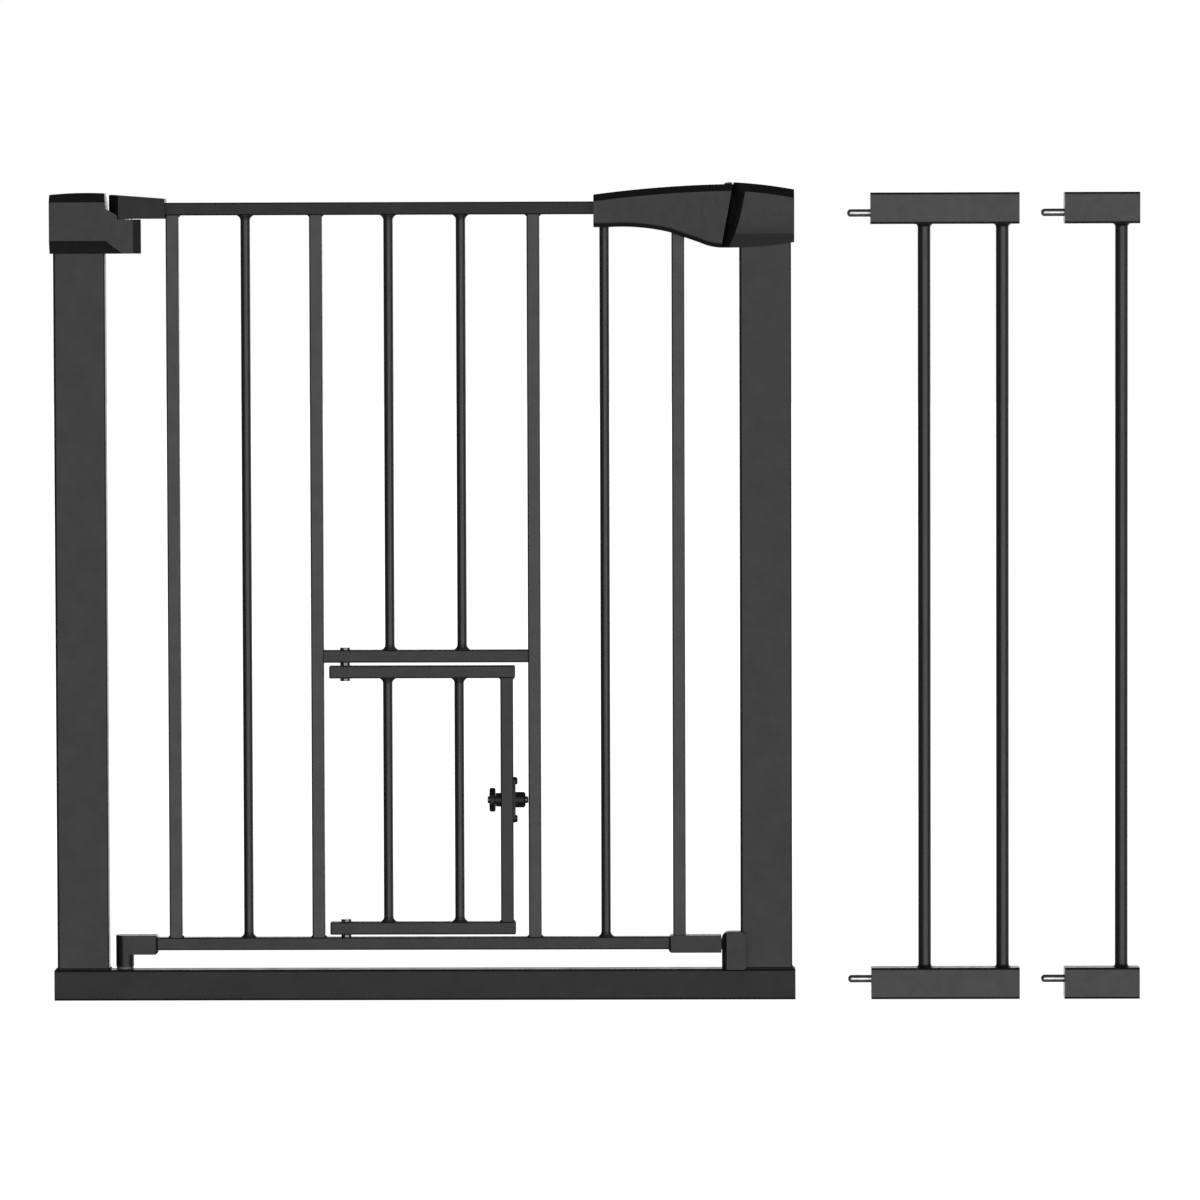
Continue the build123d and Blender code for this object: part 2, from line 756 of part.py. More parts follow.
def handle_body(reach):
    y = handle_depth / 2
    body = front_prism(handle_outline(reach), -y, y)
    long_edges = [e for e in body.edges() if abs(abs(e.center().Y) - y) < 0.1]
    body = chamfer([e for e in long_edges if e.center().Z > gate_height - 2], handle_bevel)
    long_edges = [e for e in body.edges() if abs(abs(e.center().Y) - y) < 0.1 and e.length > 10]
    under = [e for e in long_edges if gate_height - 70 < e.center().Z < top_rail_under - 2]
    under = [e for e in under if handle_left + 2 < e.center().X < nose_x - 3]
    body = fillet(under, grip_round)
    body -= grip_grooves()
    # Room for the top rail, the bar and the stile that end inside the handle.
    rail = Pos(0, top_rail_z) * RectangleRounded(tube, tube, tube_corner)
    body -= side_prism(rail, handle_left - 1, stile_right_x + tube / 2)
    body -= rod_z(long_bar_right_x, 0, bar_radius, nose_bottom, top_rail_under)
    stile = Pos(stile_right_x, 0) * RectangleRounded(tube, tube, tube_corner)
    body -= plan_prism(stile, nose_bottom - 5, top_rail_under)
    # Channels for the bolt, the slider's stem and the slider.
    bolt_left = nose_at(bolt_z) + bolt_reach - bolt_length
    half = bolt_size / 2 + gap
    body -= block(bolt_left - slider_travel - 4.2, nose_x + 30, -half, half, bolt_z - half, bolt_z + half)
    stem = bolt_left + 6
    body -= block(stem - slider_travel - gap, stem + 6 + gap, -3.3, 3.3, bolt_z, nose_top)
    body -= block(
        slider_left() - slider_travel - gap,
        nose_x + 30,
        -slider_width / 2 - gap,
        slider_width / 2 + gap,
        slider_floor() - gap,
        nose_top + 10,
    )
    for x, z in handle_screw_places():
        body -= rod_y(x, z, 1.5, -handle_depth / 2 + 5, handle_depth)
        body -= rod_y(x, z, 3.2, handle_depth / 2 - 2.5, handle_depth)
    return body


def handle_front_shell():
    return handle_body(0) & block(handle_left - 5, nose_x + 30, -handle_depth, 0, 0, 2 * gate_height)


def handle_back_shell():
    return handle_body(nose_step) & block(
        handle_left - 5, nose_x + 30, 0, handle_depth, 0, 2 * gate_height
    )


def handle_screw_places():
    low = top_rail_under - 6.0
    return [
        (handle_left + 32, low),
        (handle_left + 60, low),
        (nose_x - 20, nose_bottom + 15),
    ]


def handle_screws():
    screws = []
    face = handle_depth / 2 - 0.5
    for x, z in handle_screw_places():
        head = rod_y(x, z, 3.2, handle_depth / 2 - 2.5, face)
        shank = rod_y(x, z, 1.5, -handle_depth / 2 + 5, handle_depth / 2 - 2.5)
        slot = block(x - 0.4, x + 0.4, face - 0.8, face + 1, z - 2.2, z + 2.2)
        cross = block(x - 2.2, x + 2.2, face - 0.8, face + 1, z - 0.4, z + 0.4)
        screws.append(head + shank - slot - cross)
    return Compound(children=screws)


# ---------------------------------------------------------------- lock


def slider_left():
    return nose_at(nose_top) - 36.0


def slider_floor():
    return gate_height + 2.6


def thumb_slider():
    left = slider_left()
    right = nose_at(nose_top) - 0.9
    floor = slider_floor()
    top_left = gate_height + 6.0
    top_right = gate_height + 8.2
    outline = polygon(
        (left, floor),
        (right - 0.6, floor),
        (right, top_right + 1.6),
        (right - 2.5, top_right + 2.0),
        (right - 6.5, top_right + 1.4),
        (right - 8.0, top_right - 0.4),
        (left + 1.5, top_left),
        (left, top_left - 0.8),
    )
    slider = front_prism(outline, -slider_width / 2, slider_width / 2)
    stem = nose_at(bolt_z) + bolt_reach - bolt_length + 6
    return slider + block(stem, stem + 6, -3, 3, bolt_z + bolt_size / 2, floor)


def lock_bolt():
    tip = nose_at(bolt_z) + bolt_reach
    half = bolt_size / 2
    bolt = block(tip - bolt_length, tip, -half, half, bolt_z - half, bolt_z + half)
    return chamfer(bolt.faces().sort_by(Axis.X)[-1].edges(), 1.2)


def lock_spring():
    left = nose_at(bolt_z) + bolt_reach - bolt_length
    return coil_x(bolt_z, 2.8, 0.4, left - slider_travel - 4.0, left, 6)


# ---------------------------------------------------------------- pet door


def leaf_pin(low, high, collar_low, collar_high, heads):
    """A pin from low to high, with a collar between the rails and heads that start at the given heights."""
    pin = rod_z(leaf_axis_x, 0, leaf_pin_radius, low, high)
    pin += rod_z(leaf_axis_x, 0, leaf_head_radius, collar_low, collar_high)
    for z0 in heads:
        pin += rod_z(leaf_axis_x, 0, leaf_head_radius, z0, z0 + leaf_head_height)
    return pin


def pet_top_pin():
    low = leaf_top - tube - gap - leaf_head_height
    high = crossbar_height + tube / 2
    return leaf_pin(low, high, leaf_top + gap, crossbar_height - tube / 2, (low, high))


def pet_bottom_pin():
    low = door_rail_low - tube / 2
    high = leaf_bottom + tube + gap
    return leaf_pin(low, high, low_rail_top, leaf_bottom - gap, (high,))


def pet_rail(z):
    rail = tube_along_x(leaf_left, leaf_right, z, tube, tube, tube_wall, tube_corner)
    return rail - rod_z(leaf_axis_x, 0, leaf_pin_radius + running, z - tube, z + tube)


def pet_right_stile():
    stile = tube_upright(
        leaf_stile_x, leaf_bottom + tube, leaf_top - tube, tube, tube, tube_wall, tube_corner
    )
    stile -= rod_x(0, latch_height, latch_bolt_radius + running, leaf_stile_x - tube, leaf_stile_x)
    stile -= rod_x(0, latch_height, latch_collar_radius + gap, leaf_stile_x, leaf_right + 1)
    for s in (-1, 1):
        z = latch_height + s * latch_screw_spacing / 2
        stile -= rod_x(0, z, 1.6, leaf_stile_x, leaf_right + 1)
    return stile


def pet_bar(x):
    return rod_z(x, 0, bar_radius, leaf_bottom + tube, leaf_top - tube)


def pet_rail_plugs():
    plugs = []
    for z in (leaf_bottom + tube / 2, leaf_top - tube / 2):
        for x0, s in ((leaf_left, -1), (leaf_right, 1)):
            outer = x0 + s * leaf_plug_head
            half = tube / 2
            head = block(min(x0, outer), max(x0, outer), -half, half, z - half, z + half)
            end_face = head.faces().sort_by(Axis.X)[0 if s < 0 else -1]
            head = fillet(end_face.edges(), 1.5)
            inner = half - tube_wall
            deep = x0 - s * leaf_plug_tail
            tail = block(min(x0, deep), max(x0, deep), -inner, inner, z - inner, z + inner)
            tail = fillet(tail.edges().filter_by(Axis.X), 0.3)
            plugs.append(head + tail)
    return Compound(children=plugs)


def pet_latch_plate():
    x0 = leaf_right
    x1 = leaf_right + latch_plate_thickness
    half_w = latch_plate_width / 2
    half_h = latch_plate_height / 2
    plate = block(x0, x1, -half_w, half_w, latch_height - half_h, latch_height + half_h)
    plate = fillet(plate.edges().filter_by(Axis.X), 4.0)
    plate -= rod_x(0, latch_height, latch_collar_radius + gap, x0 - 1, x1 + 1)
    for s in (-1, 1):
        plate -= rod_x(0, latch_height + s * latch_screw_spacing / 2, 1.6, x0 - 1, x1 + 1)
    return plate


def pet_latch_housing():
    x0 = leaf_right + latch_plate_thickness
    x1 = inner_right_x - tube / 2 - 2.9
    body = rod_x(0, latch_height, latch_housing_radius, x0, x1)
    body = chamfer(body.edges().sort_by(Axis.X)[-1:], 1.4)
    body -= rod_x(0, latch_height, latch_collar_radius + gap, x0 - 1, x1 - 2)
    return body - rod_x(0, latch_height, latch_bolt_radius + running, x0, x1 + 1)


def pet_latch_neck():
    """The guide collar that the knob's bore slides over."""
    x1 = leaf_stile_x - tube / 2
    neck = rod_x(0, latch_height, neck_radius, x1 - neck_length + 0.4, x1)
    return neck - rod_x(0, latch_height, latch_bolt_radius + running, x1 - 20, x1 + 1)


def pet_latch_screws():
    screws = []
    x0 = leaf_right + latch_plate_thickness
    for s in (-1, 1):
        z = latch_height + s * latch_screw_spacing / 2
        head = rod_x(0, z, 3.4, x0, x0 + 1.9)
        head = fillet(head.edges().sort_by(Axis.X)[-1:], 1.2)
        shank = rod_x(0, z, 1.6, leaf_right - 4, x0)
        slot = block(x0 + 1.0, x0 + 3, -0.45, 0.45, z - 2.4, z + 2.4)
        screws.append(head + shank - slot)
    return Compound(children=screws)


def pet_latch_bolt():
    tip = inner_right_x - tube / 2 - gap
    tail = leaf_stile_x - tube / 2 - neck_length - knob_thickness - 1.9
    bolt = rod_x(0, latch_height, latch_bolt_radius, tail, tip)
    bolt = chamfer(bolt.edges().sort_by(Axis.X)[-1:], 1.0)
    collar = latch_collar_x()
    return bolt + rod_x(0, latch_height, latch_collar_radius, collar, collar + 1.0)


def latch_collar_x():
    """The spring's end of the bolt's collar, clear of the housing's end when the bolt is out."""
    return inner_right_x - tube / 2 - 2.9 - 2.0 - latch_throw - 1.0 - gap


def pet_latch_spring():
    start = leaf_stile_x - tube / 2 + tube_wall
    return coil_x(latch_height, 4.1, 0.4, start, latch_collar_x(), 6)


def pet_latch_knob():
    x1 = leaf_stile_x - tube / 2 - neck_length
    x0 = x1 - knob_thickness
    knob = rod_x(0, latch_height, knob_radius, x0, x1)
    knob = fillet(knob.edges(), 1.2)
    knob -= rod_x(0, latch_height, neck_radius + gap, x1 - latch_throw - gap, x1 + 1)
    return knob - rod_x(0, latch_height, latch_bolt_radius, x0 - 1, x1 + 1)


# ---------------------------------------------------------------- extensions


def top_block_base():
    return gate_height - block_height


def extension_block(start, length, z0, bars, upper):
    """A moulded block, closed at its left end, with seats for the bars and for the pin."""
    end = start + length - end_cap_length
    y = block_depth / 2
    body = block(start, end, -y, y, z0, z0 + block_height)
    body = fillet(body.edges().filter_by(Axis.X), 2.5)
    body -= block(
        start + extension_pin_seat + 2,
        end + 1,
        -y + block_wall,
        y - block_wall,
        z0 + block_wall,
        z0 + block_height - block_wall,
    )
    pin_z = bore_height_top if upper else bore_height_low
    body -= rod_x(0, pin_z, extension_pin_radius, start - 1, start + extension_pin_seat)
    for offset in bars:
        x = start + offset
        if upper:
            body -= rod_z(x, 0, extension_bar_radius, z0 - 1, z0 + extension_bar_seat)
        else:
            top = z0 + block_height
            body -= rod_z(x, 0, extension_bar_radius, top - extension_bar_seat, top + 1)
    return body


def extension_bar(start, offset):
    return rod_z(
        start + offset,
        0,
        extension_bar_radius,
        block_height - extension_bar_seat,
        top_block_base() + extension_bar_seat,
    )


def extension_end_caps(start, length):
    """The caps that close both blocks' right ends, each with a bore for the next piece's pin."""
    caps = []
    end = start + length
    y = block_depth / 2
    for z0, pin_z in ((0.0, bore_height_low), (top_block_base(), bore_height_top)):
        cap = block(end - end_cap_length, end, -y, y, z0, z0 + block_height)
        cap = fillet(cap.edges().filter_by(Axis.X), 2.5)
        tail = block(
            end - end_cap_length - end_cap_tail,
            end - end_cap_length,
            -y + block_wall,
            y - block_wall,
            z0 + block_wall,
            z0 + block_height - block_wall,
        )
        cap += tail
        caps.append(cap - rod_x(0, pin_z, bore_radius, end - 30, end + 1))
    return Compound(children=caps)


def extension_pins(start):
    pins = []
    for z in (bore_height_low, bore_height_top):
        pin = rod_x(
            0, z, extension_pin_radius, start - extension_pin_length, start + extension_pin_seat
        )
        pins.append(fillet(pin.edges().sort_by(Axis.X)[:1], extension_pin_radius - 0.4))
    return Compound(children=pins)


def all_parts():
    """Every sub-part by its name."""
    parts = {
        "frame_bottom_rail": frame_bottom_rail(),
        "frame_left_post": frame_post(-1),
        "frame_right_post": frame_post(1),
        "hinge_housing": hinge_housing(),
        "catch_housing": catch_housing(),
        "catch_keeper": catch_keeper(),
        "bottom_stop": bottom_stop(),
        "spindle_bushes": spindle_bushes(),
        "rail_plugs": rail_plugs(),
        "housing_screws": housing_screws(),
        "top_hinge_pin": top_hinge_pin(),
        "bottom_hinge_pin": bottom_hinge_pin(),
        "top_hinge_bush": top_hinge_bush(),
        "bottom_hinge_bush": bottom_hinge_bush(),
        "door_top_rail": door_top_rail(),
        "door_bottom_rail": door_bottom_rail(),
        "door_left_stile": door_stile(stile_left_x),
        "door_right_stile": door_stile(stile_right_x),
        "door_inner_stile_left": door_stile(inner_left_x),
        "door_inner_stile_right": door_inner_stile_right(),
        "door_crossbar": door_crossbar(),
        "door_top_hinge_cap": door_top_hinge_cap(),
        "door_bottom_elbow": door_bottom_elbow(),
        "door_end_sleeve": door_end_sleeve(),
        "handle_front_shell": handle_front_shell(),
        "handle_back_shell": handle_back_shell(),
        "handle_screws": handle_screws(),
        "thumb_slider": thumb_slider(),
        "lock_bolt": lock_bolt(),
        "lock_spring": lock_spring(),
        "pet_top_pin": pet_top_pin(),
        "pet_bottom_pin": pet_bottom_pin(),
        "pet_top_rail": pet_rail(leaf_top - tube / 2),
        "pet_bottom_rail": pet_rail(leaf_bottom + tube / 2),
        "pet_right_stile": pet_right_stile(),
        "pet_rail_plugs": pet_rail_plugs(),
        "pet_latch_plate": pet_latch_plate(),
        "pet_latch_housing": pet_latch_housing(),
        "pet_latch_neck": pet_latch_neck(),
        "pet_latch_screws": pet_latch_screws(),
        "pet_latch_bolt": pet_latch_bolt(),
        "pet_latch_spring": pet_latch_spring(),
        "pet_latch_knob": pet_latch_knob(),
    }
    upper_third = (pet_opening + tube) / 6
    for name, side, long_bar_x in (("left", -1, long_bar_left_x), ("right", 1, long_bar_right_x)):
        parts[f"door_long_bar_{name}"] = door_long_bar(long_bar_x)
        parts[f"door_upper_bar_{name}"] = door_upper_bar(bay_middle + side * upper_third)
        parts[f"pet_bar_{name}"] = pet_bar(bay_middle + leaf_bar_shift + side * leaf_bar_offset)
    for name, start, length, bars in (
        ("wide", wide_start, wide_length, wide_bars),
        ("narrow", narrow_start, narrow_length, narrow_bars),
    ):
        parts[f"{name}_bottom_block"] = extension_block(start, length, 0.0, bars, False)
        parts[f"{name}_top_block"] = extension_block(start, length, top_block_base(), bars, True)
        for number, offset in enumerate(bars, 1):
            parts[f"{name}_bar_{number}"] = extension_bar(start, offset)
        parts[f"{name}_end_caps"] = extension_end_caps(start, length)
        parts[f"{name}_pins"] = extension_pins(start)
    return parts


os.makedirs("parts", exist_ok=True)
for part_name, shape in all_parts().items():
    export_step(shape, f"parts/{part_name}.step")
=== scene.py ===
import json
import math

import bmesh
import bpy
from mathutils import Matrix, Vector


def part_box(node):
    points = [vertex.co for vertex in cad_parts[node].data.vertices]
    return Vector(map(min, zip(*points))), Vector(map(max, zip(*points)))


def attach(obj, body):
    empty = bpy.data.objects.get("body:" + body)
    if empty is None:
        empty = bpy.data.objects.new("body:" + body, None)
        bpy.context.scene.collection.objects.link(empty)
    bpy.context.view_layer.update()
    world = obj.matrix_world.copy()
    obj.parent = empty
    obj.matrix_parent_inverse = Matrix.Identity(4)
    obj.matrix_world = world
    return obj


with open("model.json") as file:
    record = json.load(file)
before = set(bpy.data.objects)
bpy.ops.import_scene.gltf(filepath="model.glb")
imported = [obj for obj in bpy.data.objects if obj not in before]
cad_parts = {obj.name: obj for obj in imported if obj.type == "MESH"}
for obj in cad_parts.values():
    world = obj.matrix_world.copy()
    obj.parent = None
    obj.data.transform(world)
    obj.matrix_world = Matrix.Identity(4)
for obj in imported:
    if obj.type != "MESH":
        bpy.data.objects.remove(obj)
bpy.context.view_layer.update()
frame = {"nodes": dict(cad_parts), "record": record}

NODES = frame["nodes"]


# ---------------------------------------------------------------- materials

# Convex edges start to take the painted highlight at the first pointiness and take it fully at the
# second.
EDGE_HIGHLIGHT_POINTINESS = (0.53, 0.62)
EDGE_HIGHLIGHT_AMOUNT = 0.35
# The painted edge highlight is the light base colour times these, on coat and on plastic.
COAT_EDGE_HIGHLIGHT = 1.6
PLASTIC_EDGE_HIGHLIGHT = 1.8


def new_material(name, base, roughness, metallic=0.0, specular=0.5):
    """A principled material of plain values, with its node tree and shader."""
    material = bpy.data.materials.new(name)
    material.use_nodes = True
    tree = material.node_tree
    shader = tree.nodes["Principled BSDF"]
    shader.inputs["Base Color"].default_value = (*base, 1.0)
    shader.inputs["Roughness"].default_value = roughness
    shader.inputs["Metallic"].default_value = metallic
    shader.inputs["Specular IOR Level"].default_value = specular
    return material, tree, shader


def noise(tree, scale, detail=2.0, stretch=None):
    """Noise in the object's own coordinates."""
    coords = tree.nodes.new("ShaderNodeTexCoord")
    source = coords.outputs["Object"]
    if stretch:
        mapping = tree.nodes.new("ShaderNodeMapping")
        mapping.inputs["Scale"].default_value = stretch
        tree.links.new(source, mapping.inputs["Vector"])
        source = mapping.outputs["Vector"]
    node = tree.nodes.new("ShaderNodeTexNoise")
    node.inputs["Scale"].default_value = scale
    node.inputs["Detail"].default_value = detail
    node.inputs["Roughness"].default_value = 0.5
    tree.links.new(source, node.inputs["Vector"])
    return node.outputs["Fac"]


def opaque(colour):
    """A colour or a grey level with full alpha."""
    return (*colour, 1.0) if isinstance(colour, tuple) else (colour, colour, colour, 1.0)


def ramp(tree, fac, low, high, start=0.3, end=0.7):
    """A colour or grey that runs from low to high."""
    node = tree.nodes.new("ShaderNodeValToRGB")
    first, last = node.color_ramp.elements
    first.position = start
    last.position = end
    first.color = opaque(low)
    last.color = opaque(high)
    tree.links.new(fac, node.inputs["Fac"])
    return node.outputs["Color"]


def bump(tree, shader, layers):
    """Stacked bumps: (height output, strength, distance in metres)."""
    normal = None
    for height, strength, distance in layers:
        node = tree.nodes.new("ShaderNodeBump")
        node.inputs["Strength"].default_value = strength
        node.inputs["Distance"].default_value = distance
        tree.links.new(height, node.inputs["Height"])
        if normal:
            tree.links.new(normal, node.inputs["Normal"])
        normal = node.outputs["Normal"]
    tree.links.new(normal, shader.inputs["Normal"])


def painted_edge_highlight(tree, base, highlight_colour):
    """Base colour that lightens a little on convex edges: a painted highlight where the edges catch
    the light.
    """
    geometry = tree.nodes.new("ShaderNodeNewGeometry")
    fac = ramp(tree, geometry.outputs["Pointiness"], 0.0, EDGE_HIGHLIGHT_AMOUNT, *EDGE_HIGHLIGHT_POINTINESS)
    mix = tree.nodes.new("ShaderNodeMix")
    mix.data_type = "RGBA"
    tree.links.new(fac, mix.inputs["Factor"])
    tree.links.new(base, mix.inputs["A"])
    mix.inputs["B"].default_value = opaque(highlight_colour)
    return mix.outputs["Result"]


def powder_coat(name, dark, light, specular=0.5):
    """Satin powder coat on steel: orange peel, fine pores and faint clouding."""
    material, tree, shader = new_material(name, dark, 0.36, specular=specular)
    clouds = ramp(tree, noise(tree, 9.0, detail=4.0), dark, light)
    # Painted highlight on the convex edges.
    colour = painted_edge_highlight(tree, clouds, tuple(c * COAT_EDGE_HIGHLIGHT for c in light))
    tree.links.new(colour, shader.inputs["Base Color"])
    gloss = ramp(tree, noise(tree, 60.0, detail=3.0), 0.32, 0.40)
    tree.links.new(gloss, shader.inputs["Roughness"])
    pores = noise(tree, 900.0)
    peel = noise(tree, 250.0)
    bump(tree, shader, [(pores, 0.25, 0.0002), (peel, 0.15, 0.0004)])
    return material


def moulded(name, dark, light, rough=(0.30, 0.38), specular=0.5):
    """Moulded plastic with a fine spark-eroded grain."""
    material, tree, shader = new_material(name, dark, 0.34, specular=specular)
    clouds = ramp(tree, noise(tree, 14.0, detail=4.0), dark, light)
    # Painted highlight on the convex edges.
    colour = painted_edge_highlight(tree, clouds, tuple(c * PLASTIC_EDGE_HIGHLIGHT for c in light))
    tree.links.new(colour, shader.inputs["Base Color"])
    gloss = ramp(tree, noise(tree, 120.0, detail=3.0), *rough)
    tree.links.new(gloss, shader.inputs["Roughness"])
    grain = noise(tree, 1400.0, detail=1.0)
    waves = noise(tree, 70.0)
    bump(tree, shader, [(grain, 0.35, 0.00015), (waves, 0.08, 0.0006)])
    return material


def plated(name, dull, bright):
    """Zinc plating: fine drawn lines and small dull patches."""
    material, tree, shader = new_material(name, bright, 0.25, metallic=1.0)
    patches = ramp(tree, noise(tree, 180.0, detail=4.0), dull, bright)
    tree.links.new(patches, shader.inputs["Base Color"])
    gloss = ramp(tree, noise(tree, 300.0, detail=3.0), 0.16, 0.34)
    tree.links.new(gloss, shader.inputs["Roughness"])
    lines = noise(tree, 400.0, detail=3.0, stretch=(0.2, 1.0, 1.0))
    bump(tree, shader, [(lines, 0.2, 0.0001)])
    return material


# Each finish clouds between a dark and a light base colour.
COAT = ((0.0065, 0.0065, 0.0067), (0.0085, 0.0085, 0.0087))
PLASTIC = ((0.0036, 0.0036, 0.0038), (0.0050, 0.0050, 0.0052))
BUSH_GREY = ((0.09, 0.09, 0.09), (0.11, 0.11, 0.11))
ZINC = ((0.58, 0.58, 0.60), (0.80, 0.80, 0.80))
DULL_ZINC = ((0.16, 0.16, 0.17), (0.26, 0.26, 0.26))
# Near-black steel, darker than the coat. On the keeper and lock bolt it is also painted shade for
# the dark catch recess.
BLACK_STEEL_AND_SHADE = ((0.003, 0.003, 0.003), (0.005, 0.005, 0.005))
GLOSSY = 0.72
DULL = 0.30

FINISHES = {
    "powder_coat": powder_coat("powder_coat_charcoal", *COAT),
    "housing_plastic": moulded("housing_plastic_charcoal", *PLASTIC),
    "bush_plastic": moulded("bush_plastic_grey", *BUSH_GREY, rough=(0.35, 0.45)),
    "zinc_steel": plated("zinc_plate", *ZINC),
    "black_steel": powder_coat("black_steel", *BLACK_STEEL_AND_SHADE, specular=0.4),
}

# Some pieces take a glossier or duller variant of their slot's finish.
TUBE_COAT = powder_coat("powder_coat_glossy", *COAT, specular=GLOSSY)
RAIL_COAT = powder_coat("powder_coat_dull", *COAT, specular=DULL)
CAP_PLASTIC = moulded("cap_plastic_charcoal", *PLASTIC, specular=DULL)
DULL_PLATE = plated("zinc_plate_dull", *DULL_ZINC)
BLOCK_PLASTIC = moulded("block_plastic_charcoal", *PLASTIC, specular=GLOSSY)

VARIANTS = {
    "frame_bottom_rail": RAIL_COAT,
    "door_top_rail": RAIL_COAT,
    "door_left_stile": TUBE_COAT,
    "door_right_stile": TUBE_COAT,
    "door_top_hinge_cap": CAP_PLASTIC,
    "pet_top_pin": DULL_PLATE,
    "pet_bottom_pin": DULL_PLATE,
    "pet_latch_bolt": DULL_PLATE,
    "wide_bar_1": TUBE_COAT,
    "wide_bar_2": TUBE_COAT,
    "narrow_bar_1": TUBE_COAT,
}
for side in ("left", "right"):
    for tube in ("door_inner_stile", "door_long_bar", "door_upper_bar", "pet_bar"):
        VARIANTS[f"{tube}_{side}"] = TUBE_COAT
for panel in ("wide", "narrow"):
    for moulding in ("top_block", "bottom_block", "end_caps"):
        VARIANTS[f"{panel}_{moulding}"] = BLOCK_PLASTIC


def finish_nodes():
    """Gives every CAD node its slot's finish, or its own variant of it."""
    for part in frame["record"]["subparts"]:
        node = NODES[part["node"]]
        node.data.materials.clear()
        node.data.materials.append(VARIANTS.get(part["node"], FINISHES[part["material_slot"]]))


# ---------------------------------------------------------------- rounded edges

EDGE_RADIUS = {
    "hinge_housing": 0.0008,
    "catch_housing": 0.0008,
    "door_top_hinge_cap": 0.0007,
    "door_bottom_elbow": 0.0006,
    "door_end_sleeve": 0.0006,
    "handle_front_shell": 0.0008,
    "handle_back_shell": 0.0008,
    "thumb_slider": 0.0004,
    "wide_end_caps": 0.0005,
    "narrow_end_caps": 0.0005,
}
BEVEL_FROM_ANGLE = math.radians(28)
BEVEL_SEGMENTS = 3


def soften_edges():
    """Mould radii on the plastic pieces' sharp edges."""
    for name, radius in EDGE_RADIUS.items():
        modifier = NODES[name].modifiers.new("mould_radius", "BEVEL")
        modifier.width = radius
        modifier.segments = BEVEL_SEGMENTS
        modifier.limit_method = "ANGLE"
        modifier.angle_limit = BEVEL_FROM_ANGLE
        modifier.use_clamp_overlap = True
        modifier.harden_normals = True


# ---------------------------------------------------------------- welds and collars

# A bead flares from a bar to the tube it stands on. It is longer along the tube than across it.
BEAD_ALONG = 0.0078
BEAD_ACROSS = 0.0056
BEAD_HEIGHT = 0.0044
BEAD_SKIN = 0.0001
BEAD_TURNS = 40
BEAD_STEPS = 7
BEAD_FLARE = 2.2
BEAD_RIPPLE = 0.035
BEAD_RIPPLES = 7
BEAD_TWIST = 3

COLLAR_FLARE = 0.0022
COLLAR_SKIN = 0.0002
COLLAR_HEIGHT = 0.0026

# A run is a weld round the foot of a square tube. Its profile is in parts of its size: out and up.
RUN_PROFILE = [(1.0, 0.0), (0.8, 0.5), (0.35, 0.85), (0.0, 1.0), (-0.4, 1.0), (-0.4, 0.0)]
RUN_CORNER = 0.0025
RUN_CORNER_POINTS = 7
RUN_SIDE_POINTS = 40
RUN_RIPPLE = 0.12
RUN_RIPPLE_STEP = 1.9
RUN_INSET = 0.0020
POST_RUN = 0.0016
STILE_RUN = 0.0014
LEAF_RUN = 0.0012

# A weld stands up from its foot, and is turned over at the top end of a bar.
TURNS = {"low": (0, 0, 0), "high": (math.pi, 0, 0)}


def close_mesh(name, shape):
    """A smooth mesh from a finished bmesh."""
    mesh = bpy.data.meshes.new(name)
    shape.to_mesh(mesh)
    shape.free()
    mesh.polygons.foreach_set("use_smooth", [True] * len(mesh.polygons))
    return mesh


def bead_mesh(name, along, across, neck, height):
    """A bead that narrows from its foot to a bar's neck, along +Z."""
    shape = bmesh.new()
    rings = []
    for step in range(BEAD_STEPS + 1):
        rise = step / BEAD_STEPS
        flare = (1 - rise) ** BEAD_FLARE
        ring = []
        for turn in range(BEAD_TURNS):
            angle = 2 * math.pi * turn / BEAD_TURNS
            ripple = 1 + BEAD_RIPPLE * math.sin(BEAD_RIPPLES * angle + BEAD_TWIST * rise) * flare
            x = (neck + (along - neck) * flare) * math.cos(angle) * ripple
            y = (neck + (across - neck) * flare) * math.sin(angle) * ripple
            ring.append(shape.verts.new((x, y, height * rise)))
        rings.append(ring)
    for low, high in zip(rings, rings[1:]):
        for turn in range(BEAD_TURNS):
            after = (turn + 1) % BEAD_TURNS
            shape.faces.new((low[turn], low[after], high[after], high[turn]))
    shape.faces.new(list(reversed(rings[0])))
    shape.faces.new(rings[-1])
    return close_mesh(name, shape)


def rectangle_path(half_x, half_y, corner):
    """Points round a rounded rectangle, each with its outward direction."""
    path = []
    for quarter, (sx, sy) in enumerate(((1, 1), (-1, 1), (-1, -1), (1, -1))):
        middle = Vector((sx * (half_x - corner), sy * (half_y - corner)))
        for step in range(RUN_CORNER_POINTS):
            angle = math.radians(90 * (quarter + step / (RUN_CORNER_POINTS - 1)))
            outward = Vector((math.cos(angle), math.sin(angle)))
            path.append((middle + outward * corner, outward))
    full = []
    for index, (spot, outward) in enumerate(path):
        following = path[(index + 1) % len(path)][0]
        corner_ends = index % RUN_CORNER_POINTS == RUN_CORNER_POINTS - 1
        count = RUN_SIDE_POINTS if corner_ends else 1
        for step in range(count):
            full.append((spot.lerp(following, step / count), outward))
    return full


